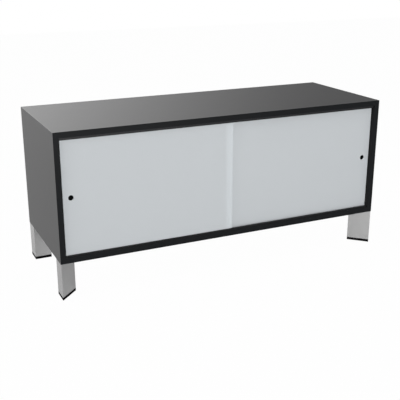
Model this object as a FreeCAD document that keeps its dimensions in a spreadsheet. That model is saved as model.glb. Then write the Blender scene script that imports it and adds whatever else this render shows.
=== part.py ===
import FreeCAD, Part
import os

import Sketcher

# Low sideboard with two sliding glass doors: a mitred board carcass on four triangular legs.
# The origin is on the floor below the middle of the body, +X to the right, the doors face -Y
# and +Z is up. All sizes are in millimetres.

# Driving dimensions: (name, value, what it is).
SIZES = (
    ("cabinet_width", 1200, "outside width of the body"),
    ("cabinet_depth", 434, "outside depth of the body, edge bands included"),
    ("body_height", 425, "outside height of the body, without the legs"),
    ("leg_height", 125, "floor to the underside of the body"),
    ("board_thickness", 19, "carcass panels, partition and shelves"),
    ("corner_easing", 0.4, "flat taken off the outer edge of each mitred corner"),
    ("edge_band_thickness", 1, "plastic band on the front and rear edges"),
    ("edge_band_rounding", 0.8, "radius on the long outer edges of a band"),
    ("spline_thickness", 4, "loose tongue in each mitre"),
    ("spline_width", 12, "across the mitre, half in each panel"),
    ("spline_leg_clearance", 5, "leg to the end of a spline groove, front to rear"),
    ("spline_side_clearance", 0.1, "groove wall to spline, each side"),
    ("spline_end_clearance", 0.3, "groove floor to spline edge, each side"),
    ("back_thickness", 8, "back panel"),
    ("back_inset", 12, "rear face of the back panel to the rear of the body"),
    ("back_groove_depth", 8, "groove in the carcass panels for the back panel"),
    ("back_side_clearance", 0.2, "groove wall to back panel, each side"),
    ("back_end_clearance", 0.4, "groove floor to the edge of the back panel"),
    ("track_setback", 6, "front of the body to the front wall of the door tracks"),
    ("track_wall", 2, "each of the three walls of a door track"),
    ("track_channel", 6, "clear width of each track channel"),
    ("track_floor", 2, "thickness of the web below or above the channels"),
    ("track_recess", 5, "depth of the track grooves in the top and bottom panels"),
    ("track_end_clearance", 0.5, "end of a track to the end of its groove"),
    ("track_lip_rounding", 0.5, "radius on the free edges of the track walls"),
    ("lower_lip_height", 5.5, "lower track above the bottom panel"),
    ("lower_rib_drop", 2.5, "middle wall of the lower track below its front and rear walls"),
    ("upper_lip_height", 8.5, "upper track below the top panel"),
    ("glass_thickness", 5, "door pane"),
    ("glass_edge_chamfer", 0.6, "polished arris round the pane and its finger hole"),
    ("door_overlap", 18, "overlap of the closed doors at mid-width"),
    ("door_end_clearance", 1, "closed door to the side panel"),
    ("door_lift_spare", 0.5, "left above the pane when it is lifted out of the lower track"),
    ("finger_hole_radius", 9, "round hole through each pane"),
    ("finger_hole_inset", 27, "centre of the finger hole to the outer edge of the pane"),
    ("glide_height", 3, "plastic glide under the pane"),
    ("glide_length", 40, "glide along the pane"),
    ("glide_inset", 14, "end of the pane to the end of its glide"),
    ("glide_side_clearance", 0.2, "glide to the channel wall, each side"),
    ("glide_running_clearance", 0.2, "glide to the channel floor"),
    ("stop_top_clearance", 0.4, "rubber end stop below the top of the glides"),
    ("stop_clearance", 0.3, "end stop to the glide of the closed door"),
    ("partition_clearance", 3, "rear of the tracks to the front of the partition"),
    ("inner_rear_clearance", 0.5, "partition and shelves to the back panel"),
    ("dowel_radius", 4, "wooden dowel between partition and carcass"),
    ("dowel_panel_depth", 12, "dowel in the top or bottom panel"),
    ("dowel_partition_depth", 18, "dowel in the partition"),
    ("dowel_end_clearance", 0.5, "end of a dowel to the end of its hole"),
    ("dowel_side_clearance", 0.05, "dowel to the wall of its hole"),
    ("dowel_pitch", 128, "dowels along the depth"),
    ("dowels_per_row", 3, "number of dowels along the depth"),
    ("dowel_chamfer", 0.8, "chamfer on the dowel ends"),
    ("shelf_setback", 16, "rear of the tracks to the front of a shelf"),
    ("shelf_side_clearance", 0.5, "end of a shelf to the collars of its pins"),
    ("pin_radius", 2.5, "shelf pin and its hole"),
    ("pin_side_clearance", 0.05, "shelf pin to the wall of its hole"),
    ("pin_gap", 2, "between two shelf pins that share a hole through the partition"),
    ("pin_end_clearance", 0.5, "end of a shelf pin to the end of its hole in a side panel"),
    ("pin_reach", 8, "shelf pin out of the panel"),
    ("pin_collar_height", 1.1, "collar beyond the pin, all round"),
    ("pin_collar_thickness", 1, "collar along the pin"),
    ("pin_row_inset", 37, "front or rear edge of a shelf to the pin row"),
    ("pin_pitch", 32, "pin holes up a row"),
    ("pin_holes_per_row", 7, "number of pin holes up a row"),
    ("back_screw_radius", 1.75, "screw through the back panel into the partition"),
    ("back_screw_length", 30, "screw below its head"),
    ("back_screw_tip_length", 4, "pointed end of the screw"),
    ("back_screw_head_radius", 3.6, "pan head"),
    ("back_screw_head_height", 2.4, "pan head"),
    ("back_screw_side_clearance", 0.05, "screw to the wall of its hole"),
    ("back_screw_end_clearance", 0.5, "screw to the end of its hole"),
    ("back_screw_pitch", 140, "screws up the partition"),
    ("back_screws", 3, "number of screws up the partition"),
    ("back_screw_slot_length", 3.6, "each bar of the cross recess"),
    ("back_screw_slot_width", 0.9, "each bar of the cross recess"),
    ("back_screw_slot_depth", 1.2, "cross recess"),
    ("leg_side", 59.5, "each short side of the triangular leg section"),
    ("leg_wall", 3, "wall of the leg profile"),
    ("leg_corner_rounding", 0.8, "radius on the upright edges of legs and feet"),
    ("leg_inset", 0.6, "outer faces of the body to the legs"),
    ("foot_height", 10, "visible height of the foot under the leg"),
    ("foot_plug_height", 15, "part of the foot inside the leg"),
    ("foot_plug_clearance", 0.15, "foot plug to the inside of the leg"),
    ("foot_edge_chamfer", 0.5, "chamfer round the sole of the foot"),
    ("block_thickness", 12, "block in the head of the leg"),
    ("block_clearance", 0.1, "block to the inside of the leg"),
    ("bolt_radius", 4, "shank of the leg bolt"),
    ("bolt_hole_clearance", 0.5, "bolt to the wall of its hole in the block"),
    ("bolt_tip_chamfer", 1, "free end of the bolt"),
    ("bolt_tip_clearance", 1, "free end of the bolt to the end of the insert"),
    ("bolt_head_radius", 6.5, "socket head"),
    ("bolt_head_height", 8, "socket head"),
    ("bolt_socket_width", 6, "across the flats of the hexagon socket"),
    ("bolt_socket_depth", 4, "hexagon socket"),
    ("bolt_thread_clearance", 0.05, "bolt to the bore of the insert"),
    ("insert_wall", 1.45, "threaded insert in the bottom panel, from its bore outwards"),
    ("insert_length", 12, "threaded insert in the bottom panel"),
    ("insert_side_clearance", 0.05, "insert to the wall of its hole"),
    ("insert_end_clearance", 0.6, "insert to the end of its hole"),
    ("mitre_margin", 2.4, "holes for inserts and pegs, less their depth, to the outer face"),
    ("peg_radius", 2.5, "locating peg on the block"),
    ("peg_height", 6, "locating peg on the block"),
    ("peg_far_inset", 31, "square corner of the leg to a peg, along the far short side"),
    ("peg_side_clearance", 0.1, "peg to the wall of its hole"),
    ("peg_end_clearance", 0.6, "peg to the end of its hole"),
)

# Cuts run this far past the faces that they open.
OVERCUT = 2

# Lengths and directions closer than this count as the same.
CLOSE = 1e-4

X_AXIS = FreeCAD.Vector(1, 0, 0)
Y_AXIS = FreeCAD.Vector(0, 1, 0)
Z_AXIS = FreeCAD.Vector(0, 0, 1)

doc = FreeCAD.newDocument("sliding_door_cabinet")
sheet = doc.addObject("Spreadsheet::Sheet", "Sizes")
for row, (alias, number, meaning) in enumerate(SIZES, start=1):
    sheet.set(f"A{row}", alias)
    sheet.set(f"B{row}", str(number))
    sheet.setAlias(f"B{row}", alias)
    sheet.set(f"C{row}", meaning)
doc.recompute()

# Sizes worked out from the driving dimensions, as expressions for setExpression.
INNER_WIDTH = "(Sizes.cabinet_width - 2 * Sizes.board_thickness)"
INNER_HEIGHT = "(Sizes.body_height - 2 * Sizes.board_thickness)"
TOTAL_HEIGHT = "(Sizes.leg_height + Sizes.body_height)"
MIDDLE_HEIGHT = "(Sizes.leg_height + Sizes.body_height / 2)"
INNER_FLOOR = "(Sizes.leg_height + Sizes.board_thickness)"
CORE_DEPTH = "(Sizes.cabinet_depth - 2 * Sizes.edge_band_thickness)"
FRONT = "(-Sizes.cabinet_depth / 2)"

BACK_REAR = "(Sizes.cabinet_depth / 2 - Sizes.back_inset)"
BACK_MIDDLE = f"({BACK_REAR} - Sizes.back_thickness / 2)"
BACK_FRONT = f"({BACK_REAR} - Sizes.back_thickness)"
INNER_REAR = f"({BACK_FRONT} - Sizes.inner_rear_clearance)"

TRACK_WIDTH = "(3 * Sizes.track_wall + 2 * Sizes.track_channel)"
TRACK_MIDDLE = f"({FRONT} + Sizes.track_setback + {TRACK_WIDTH} / 2)"
TRACK_REAR = f"({FRONT} + Sizes.track_setback + {TRACK_WIDTH})"
CHANNEL_OFFSET = "((Sizes.track_wall + Sizes.track_channel) / 2)"
LOWER_TRACK_HEIGHT = "(Sizes.track_recess + Sizes.lower_lip_height)"
LOWER_RIB_HEIGHT = f"({LOWER_TRACK_HEIGHT} - Sizes.lower_rib_drop)"
UPPER_TRACK_HEIGHT = "(Sizes.track_recess + Sizes.upper_lip_height)"
CHANNEL_FLOOR = f"({INNER_FLOOR} - Sizes.track_recess + Sizes.track_floor)"
CHANNEL_CEILING = f"({TOTAL_HEIGHT} - Sizes.board_thickness + Sizes.track_recess - Sizes.track_floor)"

DOOR_WIDTH = f"(({INNER_WIDTH} + Sizes.door_overlap) / 2 - Sizes.door_end_clearance)"
DOOR_OFFSET = f"({INNER_WIDTH} / 2 - Sizes.door_end_clearance - {DOOR_WIDTH} / 2)"
GLIDE_BOTTOM = f"({CHANNEL_FLOOR} + Sizes.glide_running_clearance)"
PANE_BOTTOM = f"({GLIDE_BOTTOM} + Sizes.glide_height)"
PANE_LIFT = f"({LOWER_TRACK_HEIGHT} - Sizes.track_floor + Sizes.door_lift_spare)"
PANE_TOP = f"({CHANNEL_CEILING} - {PANE_LIFT})"

PARTITION_FRONT = f"({TRACK_REAR} + Sizes.partition_clearance)"
PARTITION_CORE_FRONT = f"({PARTITION_FRONT} + Sizes.edge_band_thickness)"
DOWEL_MIDDLE = f"(({PARTITION_FRONT} + {INNER_REAR}) / 2)"
DOWEL_ROW_LENGTH = "((Sizes.dowels_per_row - 1) * Sizes.dowel_pitch)"
DOWEL_FIRST = f"({DOWEL_MIDDLE} - {DOWEL_ROW_LENGTH} / 2)"
DOWEL_HOLE_RADIUS = "(Sizes.dowel_radius + Sizes.dowel_side_clearance)"

BAY_WIDTH = f"(({INNER_WIDTH} - Sizes.board_thickness) / 2)"
BAY_MIDDLE = f"(({BAY_WIDTH} + Sizes.board_thickness) / 2)"
SHELF_FRONT = f"({TRACK_REAR} + Sizes.shelf_setback)"
SHELF_CORE_FRONT = f"({SHELF_FRONT} + Sizes.edge_band_thickness)"
SHELF_LENGTH = f"({BAY_WIDTH} - 2 * (Sizes.pin_collar_thickness + Sizes.shelf_side_clearance))"
PIN_ROW_FRONT = f"({SHELF_FRONT} + Sizes.pin_row_inset)"
PIN_ROW_REAR = f"({INNER_REAR} - Sizes.pin_row_inset)"
PIN_ROW_SPACING = f"({PIN_ROW_REAR} - {PIN_ROW_FRONT})"
PIN_ROW_LENGTH = "((Sizes.pin_holes_per_row - 1) * Sizes.pin_pitch)"
PIN_ROW_BOTTOM = f"(-{PIN_ROW_LENGTH} / 2)"
PINS_IN_USE = "(floor((Sizes.pin_holes_per_row - 1) / 2) * Sizes.pin_pitch)"
PIN_LEVEL = f"({MIDDLE_HEIGHT} + {PIN_ROW_BOTTOM} + {PINS_IN_USE})"
PIN_DEPTH = "((Sizes.board_thickness - Sizes.pin_gap) / 2)"
PIN_HOLE_RADIUS = "(Sizes.pin_radius + Sizes.pin_side_clearance)"
SHELF_BOTTOM = f"({PIN_LEVEL} + Sizes.pin_radius)"
SHELF_MIDDLE = f"({SHELF_BOTTOM} + Sizes.board_thickness / 2)"

SPLINE_STOP = "(Sizes.leg_inset + Sizes.leg_side + Sizes.spline_leg_clearance)"
SPLINE_GROOVE_LENGTH = f"(Sizes.cabinet_depth - 2 * {SPLINE_STOP})"
BACK_SCREW_ROW = "((Sizes.back_screws - 1) * Sizes.back_screw_pitch)"
BACK_SCREW_HOLE_END = f"({BACK_REAR} - Sizes.back_screw_length - Sizes.back_screw_end_clearance)"
BACK_SCREW_HOLE_DEPTH = f"({INNER_REAR} - {BACK_SCREW_HOLE_END})"
BACK_SCREW_HOLE_RADIUS = "(Sizes.back_screw_radius + Sizes.back_screw_side_clearance)"

LEG_TUBE_HEIGHT = "(Sizes.leg_height - Sizes.foot_height)"
LEG_CORNER_X = "(Sizes.cabinet_width / 2 - Sizes.leg_inset)"
LEG_CORNER_Y = "(Sizes.cabinet_depth / 2 - Sizes.leg_inset - Sizes.leg_side)"
BLOCK_BOTTOM = "(Sizes.leg_height - Sizes.block_thickness)"

# The bolts and pegs stand far enough from the outer side face to keep out of the mitre, which
# comes in as far as their holes are deep.
INSERT_BORE_RADIUS = "(Sizes.bolt_radius + Sizes.bolt_thread_clearance)"
INSERT_RADIUS = f"({INSERT_BORE_RADIUS} + Sizes.insert_wall)"
INSERT_HOLE_RADIUS = f"({INSERT_RADIUS} + Sizes.insert_side_clearance)"
INSERT_HOLE_DEPTH = "(Sizes.insert_length + Sizes.insert_end_clearance)"
BOLT_INSET = f"({INSERT_HOLE_DEPTH} + {INSERT_HOLE_RADIUS} + Sizes.mitre_margin - Sizes.leg_inset)"
BOLT_X = f"({LEG_CORNER_X} - {BOLT_INSET})"
BOLT_Y = f"({LEG_CORNER_Y} + {BOLT_INSET})"
BOLT_SHANK = "(Sizes.block_thickness + Sizes.insert_length - Sizes.bolt_tip_clearance)"
PEG_HOLE_RADIUS = "(Sizes.peg_radius + Sizes.peg_side_clearance)"
PEG_HOLE_DEPTH = "(Sizes.peg_height + Sizes.peg_end_clearance)"
PEG_NEAR_INSET = f"({PEG_HOLE_DEPTH} + {PEG_HOLE_RADIUS} + Sizes.mitre_margin - Sizes.leg_inset)"
PEG_INSETS = (PEG_NEAR_INSET, "Sizes.peg_far_inset"), ("Sizes.peg_far_inset", PEG_NEAR_INSET)

# Roundings and chamfers stay below this share of the thinnest size beside them.
EDGE_SHARE = 0.9
BAND_ROUNDING = f"min(Sizes.edge_band_rounding; {EDGE_SHARE} * Sizes.edge_band_thickness)"
LIP_ROUNDING = f"min(Sizes.track_lip_rounding; {EDGE_SHARE} * Sizes.track_wall / 2)"
SOLE_CHAMFER = f"min(Sizes.foot_edge_chamfer; {EDGE_SHARE} * Sizes.leg_corner_rounding)"

LEFT, RIGHT = -1, 1
REAR, FORE = 1, -1

# The finished pieces, in the order in which they are written.
pieces = []


def size(expression):
    """The number that an expression of the size sheet gives."""
    return float(sheet.evalExpression(expression))


def add_piece(label, x="0", y="0", z="0", axis=Z_AXIS, turn=0):
    """An empty body, turned about an axis and then placed by expressions."""
    body = doc.addObject("PartDesign::Body", label)
    body.Label = label
    body.Placement = FreeCAD.Placement(FreeCAD.Vector(), FreeCAD.Rotation(axis, turn))
    body.setExpression("Placement.Base.x", x)
    body.setExpression("Placement.Base.y", y)
    body.setExpression("Placement.Base.z", z)
    pieces.append(body)
    return body


def origin_feature(body, role):
    """One of the body's own origin planes or axes."""
    return next(item for item in body.Origin.OriginFeatures if item.Role == role)


def add_sketch(body, plane, name, x="0", y="0", out="0"):
    """A sketch on an origin plane, shifted in the plane by x and y and along its normal by out."""
    sketch = body.newObject("Sketcher::SketchObject", f"{body.Label}_{name}")
    sketch.AttachmentSupport = [(origin_feature(body, plane), "")]
    sketch.MapMode = "FlatFace"
    sketch.setExpression("AttachmentOffset.Base.x", x)
    sketch.setExpression("AttachmentOffset.Base.y", y)
    sketch.setExpression("AttachmentOffset.Base.z", out)
    return sketch


def bind(sketch, constraint, expression):
    """Adds a constraint and ties its value to an expression."""
    index = sketch.addConstraint(constraint)
    name = f"size_{index}"
    sketch.renameConstraint(index, name)
    sketch.setExpression(f"Constraints.{name}", expression)


def fix_point(sketch, edge, point, x, y):
    """Fixes one point of an edge at x and y from the sketch's origin."""
    bind(sketch, Sketcher.Constraint("DistanceX", -1, 1, edge, point, size(x)), x)
    bind(sketch, Sketcher.Constraint("DistanceY", -1, 1, edge, point, size(y)), y)


def draw_polygon(sketch, corners):
    """A closed outline through the corners, each an (x, y) pair of expressions."""
    first = sketch.GeometryCount
    places = [FreeCAD.Vector(size(x), size(y), 0) for x, y in corners]
    for start, end in zip(places, places[1:] + places[:1]):
        sketch.addGeometry(Part.LineSegment(start, end), False)
    for number, (x, y) in enumerate(corners):
        following = (number + 1) % len(corners)
        sketch.addConstraint(Sketcher.Constraint("Coincident", first + number, 2, first + following, 1))
        fix_point(sketch, first + number, 1, x, y)


def draw_rectangle(sketch, left, right, bottom, top):
    """An upright rectangle between four expressions."""
    draw_polygon(sketch, [(left, bottom), (right, bottom), (right, top), (left, top)])


def draw_circle(sketch, x, y, radius):
    """A circle of an expression's radius about x and y."""
    edge = sketch.GeometryCount
    middle = FreeCAD.Vector(size(x), size(y), 0)
    sketch.addGeometry(Part.Circle(middle, Z_AXIS, size(radius)), False)
    fix_point(sketch, edge, 3, x, y)
    bind(sketch, Sketcher.Constraint("Radius", edge, size(radius)), radius)


def draw_corner_triangle(sketch, inset):
    """The leg's right-angled section, drawn inside its faces by an inset."""
    far = f"(Sizes.leg_side - {inset} * (1 + sqrt(2)))"
    draw_polygon(sketch, [(inset, inset), (far, inset), (inset, far)])


def add_pad(body, sketch, name, length, symmetric=False):
    """Pads a sketch along its normal, or evenly to both sides of it."""
    pad = body.newObject("PartDesign::Pad", f"{body.Label}_{name}")
    pad.Profile = sketch
    pad.SideType = "Symmetric" if symmetric else "One side"
    pad.setExpression("Length", length)
    return finish_feature(body, pad)


def add_pocket(body, sketch, name, depth=None, symmetric=False, reverse=False):
    """Cuts a sketch into the body against its normal, along it or evenly to both sides of it,
    to a depth or right through."""
    pocket = body.newObject("PartDesign::Pocket", f"{body.Label}_{name}")
    pocket.Profile = sketch
    pocket.SideType = "Symmetric" if symmetric else "One side"
    pocket.Reversed = reverse
    if depth is None:
        pocket.Type = "ThroughAll"
    else:
        pocket.setExpression("Length", depth)
    return finish_feature(body, pocket)


def add_revolution(body, sketch, name, axis):
    """Turns a sketch through a full circle about one of its own axes."""
    turned = body.newObject("PartDesign::Revolution", f"{body.Label}_{name}")
    turned.Profile = sketch
    turned.ReferenceAxis = (sketch, [axis])
    return finish_feature(body, turned)


def add_repeats(body, features, name, *steps):
    """Repeats features by steps: a plane to mirror in, or (axis, length to the last copy, count)."""
    repeats = body.newObject("PartDesign::MultiTransform", f"{body.Label}_{name}")
    repeats.Originals = features
    transformations = []
    for step in steps:
        if isinstance(step, str):
            change = body.newObject("PartDesign::Mirrored", f"{repeats.Name}_mirror")
            change.MirrorPlane = (origin_feature(body, step), [""])
        else:
            axis, length, count = step
            change = body.newObject("PartDesign::LinearPattern", f"{repeats.Name}_row")
            change.Direction = (origin_feature(body, axis), [""])
            change.setExpression("Length", length)
            change.setExpression("Occurrences", count)
        transformations.append(change)
    repeats.Transformations = transformations
    return finish_feature(body, repeats)


def add_edge_feature(body, kind, name, wanted, measure, amount):
    """Rounds or chamfers the body's edges for which wanted(edge) is true."""
    base = body.Tip
    names = [f"Edge{number}" for number, edge in enumerate(base.Shape.Edges, start=1) if wanted(edge)]
    feature = body.newObject(kind, f"{body.Label}_{name}")
    feature.Base = (base, names)
    feature.setExpression(measure, amount)
    return finish_feature(body, feature)


def add_fillet(body, name, wanted, radius):
    return add_edge_feature(body, "PartDesign::Fillet", name, wanted, "Radius", radius)


def add_chamfer(body, name, wanted, amount):
    return add_edge_feature(body, "PartDesign::Chamfer", name, wanted, "Size", amount)


def finish_feature(body, feature):
    """Makes a feature the body's tip and works it out."""
    body.Tip = feature
    doc.recompute()
    return feature


def lies_at(edge, axis, place):
    """Whether all of an edge lies at a place on an axis, 0, 1 or 2 for X, Y or Z."""
    box = edge.BoundBox
    low = (box.XMin, box.YMin, box.ZMin)[axis]
    high = (box.XMax, box.YMax, box.ZMax)[axis]
    return abs(low - place) < CLOSE and abs(high - place) < CLOSE


def runs_along(edge, axis):
    """Whether an edge is a straight line along an axis."""
    return edge.Curve.TypeId == "Part::GeomLine" and abs(edge.Curve.Direction.dot(axis)) > 1 - CLOSE


# Carcass. Each panel is drawn lying on its outer face, z = 0, with its inner face above it.


def cut_mitres(body, half):
    """Cuts both ends of a panel or band at 45 degrees and eases the outer edge."""
    sketch = add_sketch(body, "XZ_Plane", "mitre_lines")
    for side in (LEFT, RIGHT):
        eased = f"{side} * ({half} - Sizes.corner_easing)"
        tip = f"{side} * ({half} - Sizes.corner_easing / 2)"
        inside = f"{side} * ({half} - Sizes.board_thickness)"
        beyond = f"{side} * ({half} + {OVERCUT})"
        above = f"Sizes.board_thickness + {OVERCUT}"
        draw_polygon(sketch, [
            (eased, f"-{OVERCUT}"),
            (eased, "0"),
            (tip, "Sizes.corner_easing / 2"),
            (inside, "Sizes.board_thickness"),
            (inside, above),
            (beyond, above),
            (beyond, f"-{OVERCUT}"),
        ])
    add_pocket(body, sketch, "mitres", symmetric=True)


def draw_tilted_rectangle(sketch, x, y, width, thickness, slope):
    """A rectangle at 45 degrees about its middle, its width along the line that rises with
    slope, 1 or -1."""
    wide = f"({width} / 2 / sqrt(2))"
    thick = f"({thickness} / 2 / sqrt(2))"
    draw_polygon(sketch, [
        (f"{x} + {wide} - {thick}", f"{y} + {slope} * ({wide} + {thick})"),
        (f"{x} - {wide} - {thick}", f"{y} + {slope} * ({thick} - {wide})"),
        (f"{x} - {wide} + {thick}", f"{y} - {slope} * ({wide} + {thick})"),
        (f"{x} + {wide} + {thick}", f"{y} + {slope} * ({wide} - {thick})"),
    ])


def cut_spline_grooves(panel, half):
    """Cuts the stopped groove for a spline into both mitred ends."""
    sketch = add_sketch(panel, "XZ_Plane", "spline_lines")
    for side in (LEFT, RIGHT):
        draw_tilted_rectangle(
            sketch,
            f"{side} * ({half} - Sizes.board_thickness / 2)",
            "Sizes.board_thickness / 2",
            "(Sizes.spline_width + 2 * Sizes.spline_end_clearance)",
            "(Sizes.spline_thickness + 2 * Sizes.spline_side_clearance)",
            side,
        )
    add_pocket(panel, sketch, "spline_grooves", SPLINE_GROOVE_LENGTH, symmetric=True)


def cut_back_groove(panel):
    """Cuts the groove for the back panel along the inner face."""
    sketch = add_sketch(panel, "YZ_Plane", "back_groove_lines")
    reach = "(Sizes.back_thickness / 2 + Sizes.back_side_clearance)"
    draw_rectangle(
        sketch,
        f"{BACK_MIDDLE} - {reach}",
        f"{BACK_MIDDLE} + {reach}",
        "Sizes.board_thickness - Sizes.back_groove_depth",
        f"Sizes.board_thickness + {OVERCUT}",
    )
    add_pocket(panel, sketch, "back_groove", symmetric=True)


def add_carcass_panel(label, length, x, z, turn):
    """A mitred panel with its spline and back panel grooves."""
    half = f"({length} / 2)"
    panel = add_piece(label, x=x, z=z, axis=Y_AXIS, turn=turn)
    sketch = add_sketch(panel, "XZ_Plane", "section")
    draw_rectangle(sketch, f"-{half}", half, "0", "Sizes.board_thickness")
    add_pad(panel, sketch, "board", CORE_DEPTH, symmetric=True)
    cut_mitres(panel, half)
    cut_spline_grooves(panel, half)
    cut_back_groove(panel)
    return panel


def cut_track_groove(panel):
    """Cuts the stopped groove in which a door track sits."""
    sketch = add_sketch(panel, "XY_Plane", "track_groove_lines", out="Sizes.board_thickness")
    draw_rectangle(
        sketch,
        f"-{INNER_WIDTH} / 2",
        f"{INNER_WIDTH} / 2",
        f"{TRACK_MIDDLE} - {TRACK_WIDTH} / 2",
        f"{TRACK_MIDDLE} + {TRACK_WIDTH} / 2",
    )
    add_pocket(panel, sketch, "track_groove", "Sizes.track_recess")


def cut_partition_dowel_holes(panel):
    """Bores the inner face for the dowels of the partition."""
    sketch = add_sketch(panel, "XY_Plane", "dowel_circle", out="Sizes.board_thickness")
    draw_circle(sketch, "0", DOWEL_FIRST, DOWEL_HOLE_RADIUS)
    hole = add_pocket(panel, sketch, "dowel_hole", "Sizes.dowel_panel_depth + Sizes.dowel_end_clearance")
    add_repeats(panel, [hole], "dowel_holes", ("Y_Axis", DOWEL_ROW_LENGTH, "Sizes.dowels_per_row"))


def cut_leg_holes(panel):
    """Bores the outer face for the threaded inserts and the pegs of the four legs."""
    sketch = add_sketch(panel, "XY_Plane", "insert_circle")
    draw_circle(sketch, BOLT_X, BOLT_Y, INSERT_HOLE_RADIUS)
    insert_hole = add_pocket(panel, sketch, "insert_hole", INSERT_HOLE_DEPTH, reverse=True)
    sketch = add_sketch(panel, "XY_Plane", "peg_circles")
    for along_x, along_y in PEG_INSETS:
        x = f"{LEG_CORNER_X} - {along_x}"
        y = f"{LEG_CORNER_Y} + {along_y}"
        draw_circle(sketch, x, y, PEG_HOLE_RADIUS)
    peg_holes = add_pocket(panel, sketch, "peg_holes", PEG_HOLE_DEPTH, reverse=True)
    add_repeats(panel, [insert_hole, peg_holes], "leg_holes", "YZ_Plane", "XZ_Plane")


def cut_side_pin_holes(panel):
    """Bores two rows of shelf pin holes into the inner face of a side panel."""
    sketch = add_sketch(panel, "XY_Plane", "pin_circle", out="Sizes.board_thickness")
    draw_circle(sketch, PIN_ROW_BOTTOM, PIN_ROW_FRONT, PIN_HOLE_RADIUS)
    hole = add_pocket(panel, sketch, "pin_hole", f"{PIN_DEPTH} + Sizes.pin_end_clearance")
    rows = ("X_Axis", PIN_ROW_LENGTH, "Sizes.pin_holes_per_row"), ("Y_Axis", PIN_ROW_SPACING, "2")
    add_repeats(panel, [hole], "pin_holes", *rows)


def add_carcass_band(label, length, x, z, turn, side):
    """A band on the front or rear edge of a carcass panel, mitred with its neighbours."""
    half = f"({length} / 2)"
    band = add_piece(label, x=x, z=z, axis=Y_AXIS, turn=turn)
    sketch = add_sketch(band, "YZ_Plane", "section")
    outside = f"{side} * Sizes.cabinet_depth / 2"
    draw_rectangle(sketch, f"{side} * {CORE_DEPTH} / 2", outside, "0", "Sizes.board_thickness")
    add_pad(band, sketch, "strip", length, symmetric=True)
    face = size(outside)
    add_fillet(
        band,
        "rounding",
        lambda edge: runs_along(edge, X_AXIS) and lies_at(edge, 1, face),
        BAND_ROUNDING,
    )
    cut_mitres(band, half)


for name, length, x, z, turn in (
    ("bottom", "Sizes.cabinet_width", "0", "Sizes.leg_height", 0),
    ("top", "Sizes.cabinet_width", "0", TOTAL_HEIGHT, 180),
    ("left_side", "Sizes.body_height", "-Sizes.cabinet_width / 2", MIDDLE_HEIGHT, 90),
    ("right_side", "Sizes.body_height", "Sizes.cabinet_width / 2", MIDDLE_HEIGHT, -90),
):
    carcass_panel = add_carcass_panel(f"{name}_panel", length, x, z, turn)
    if name in ("bottom", "top"):
        cut_track_groove(carcass_panel)
        cut_partition_dowel_holes(carcass_panel)
    else:
        cut_side_pin_holes(carcass_panel)
    if name == "bottom":
        cut_leg_holes(carcass_panel)
    add_carcass_band(f"{name}_front_edge_band", length, x, z, turn, FORE)
    add_carcass_band(f"{name}_rear_edge_band", length, x, z, turn, REAR)


def add_mitre_splines():
    """The four loose tongues in the corners of the carcass."""
    splines = add_piece("mitre_splines", z=MIDDLE_HEIGHT)
    sketch = add_sketch(splines, "XZ_Plane", "sections")
    for across in (LEFT, RIGHT):
        for up in (-1, 1):
            draw_tilted_rectangle(
                sketch,
                f"{across} * (Sizes.cabinet_width - Sizes.board_thickness) / 2",
                f"{up} * (Sizes.body_height - Sizes.board_thickness) / 2",
                "Sizes.spline_width",
                "Sizes.spline_thickness",
                -across * up,
            )
    length = f"{SPLINE_GROOVE_LENGTH} - 2 * Sizes.spline_end_clearance"
    add_pad(splines, sketch, "tongues", length, symmetric=True)


add_mitre_splines()


def add_back_panel():
    """The back panel in its grooves, with the screw holes on the line of the partition."""
    panel = add_piece("back_panel", y=BACK_MIDDLE, z=MIDDLE_HEIGHT)
    sketch = add_sketch(panel, "XZ_Plane", "outline")
    reach = "(Sizes.back_groove_depth - Sizes.back_end_clearance)"
    half_width = f"({INNER_WIDTH} / 2 + {reach})"
    half_height = f"({INNER_HEIGHT} / 2 + {reach})"
    draw_rectangle(sketch, f"-{half_width}", half_width, f"-{half_height}", half_height)
    add_pad(panel, sketch, "board", "Sizes.back_thickness", symmetric=True)
    sketch = add_sketch(panel, "XZ_Plane", "screw_circle")
    draw_circle(sketch, "0", f"-{BACK_SCREW_ROW} / 2", BACK_SCREW_HOLE_RADIUS)
    hole = add_pocket(panel, sketch, "screw_hole", symmetric=True)
    add_repeats(panel, [hole], "screw_holes", ("Z_Axis", BACK_SCREW_ROW, "Sizes.back_screws"))


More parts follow.
